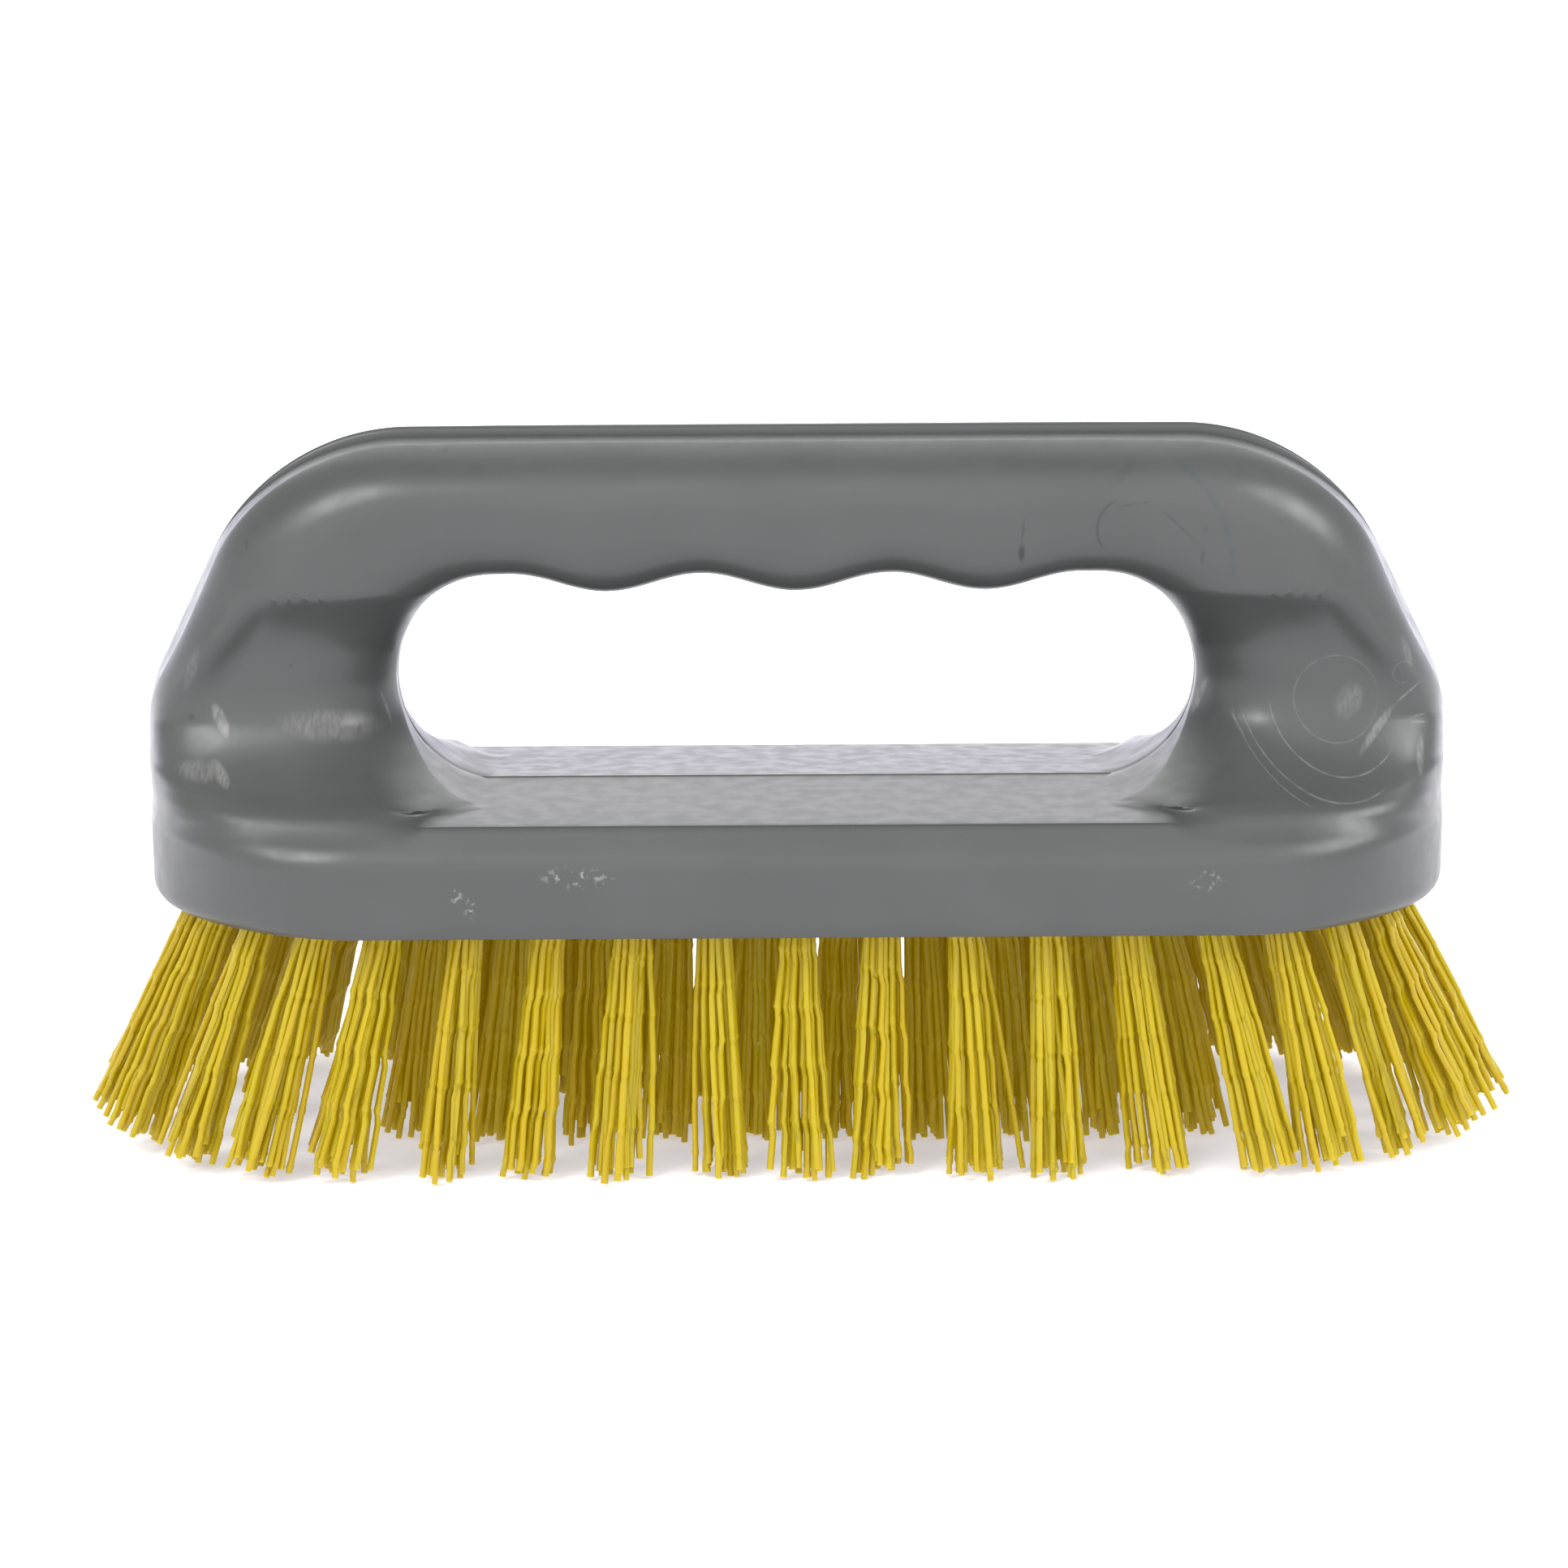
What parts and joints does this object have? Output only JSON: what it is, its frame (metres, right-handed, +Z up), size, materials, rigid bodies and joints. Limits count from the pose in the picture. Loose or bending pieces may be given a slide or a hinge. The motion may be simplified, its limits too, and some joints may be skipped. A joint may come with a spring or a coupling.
{
  "type": "scrubbing brush",
  "caption": "Hand scrubbing brush: a grey moulded plastic body with a finger opening under its handle bar, and tufts of yellow crimped filament that fan out from its underside.",
  "frame": {"origin": "middle of the box round the whole brush, on the plane that the bristle tips stand on", "axes": "+X along the brush, +Y from the user towards the rear, square to the finger opening's plane, +Z up from the bristle tips to the handle bar"},
  "size_m": [0.1702, 0.0556, 0.085],
  "materials": {
    "grey_plastic": "satin moulded polypropylene, grey",
    "yellow_filament": "satin extruded filament, crimped, slightly translucent"
  },
  "bodies": {
    "root": {"moulded_body": "grey_plastic", "tuft_rim_01": "yellow_filament", "tuft_rim_02": "yellow_filament", "tuft_rim_03": "yellow_filament", "tuft_rim_04": "yellow_filament", "tuft_rim_05": "yellow_filament", "tuft_rim_06": "yellow_filament", "tuft_rim_07": "yellow_filament", "tuft_rim_08": "yellow_filament", "tuft_rim_09": "yellow_filament", "tuft_rim_10": "yellow_filament", "tuft_rim_11": "yellow_filament", "tuft_rim_12": "yellow_filament", "tuft_rim_13": "yellow_filament", "tuft_rim_14": "yellow_filament", "tuft_rim_15": "yellow_filament", "tuft_rim_16": "yellow_filament", "tuft_rim_17": "yellow_filament", "tuft_rim_18": "yellow_filament", "tuft_rim_19": "yellow_filament", "tuft_rim_20": "yellow_filament", "tuft_rim_21": "yellow_filament", "tuft_rim_22": "yellow_filament", "tuft_rim_23": "yellow_filament", "tuft_rim_24": "yellow_filament", "tuft_rim_25": "yellow_filament", "tuft_rim_26": "yellow_filament", "tuft_rim_27": "yellow_filament", "tuft_rim_28": "yellow_filament", "tuft_rim_29": "yellow_filament", "tuft_rim_30": "yellow_filament", "tuft_rim_31": "yellow_filament", "tuft_rim_32": "yellow_filament", "tuft_rim_33": "yellow_filament", "tuft_rim_34": "yellow_filament", "tuft_rim_35": "yellow_filament", "tuft_rim_36": "yellow_filament", "tuft_rim_37": "yellow_filament", "tuft_rim_38": "yellow_filament", "tuft_front_01": "yellow_filament", "tuft_front_02": "yellow_filament", "tuft_front_03": "yellow_filament", "tuft_front_04": "yellow_filament", "tuft_front_05": "yellow_filament", "tuft_front_06": "yellow_filament", "tuft_front_07": "yellow_filament", "tuft_front_08": "yellow_filament", "tuft_front_09": "yellow_filament", "tuft_front_10": "yellow_filament", "tuft_rear_01": "yellow_filament", "tuft_rear_02": "yellow_filament", "tuft_rear_03": "yellow_filament", "tuft_rear_04": "yellow_filament", "tuft_rear_05": "yellow_filament", "tuft_rear_06": "yellow_filament", "tuft_rear_07": "yellow_filament", "tuft_rear_08": "yellow_filament", "tuft_rear_09": "yellow_filament", "tuft_end_01": "yellow_filament", "tuft_end_02": "yellow_filament"}
  },
  "joints": []
}
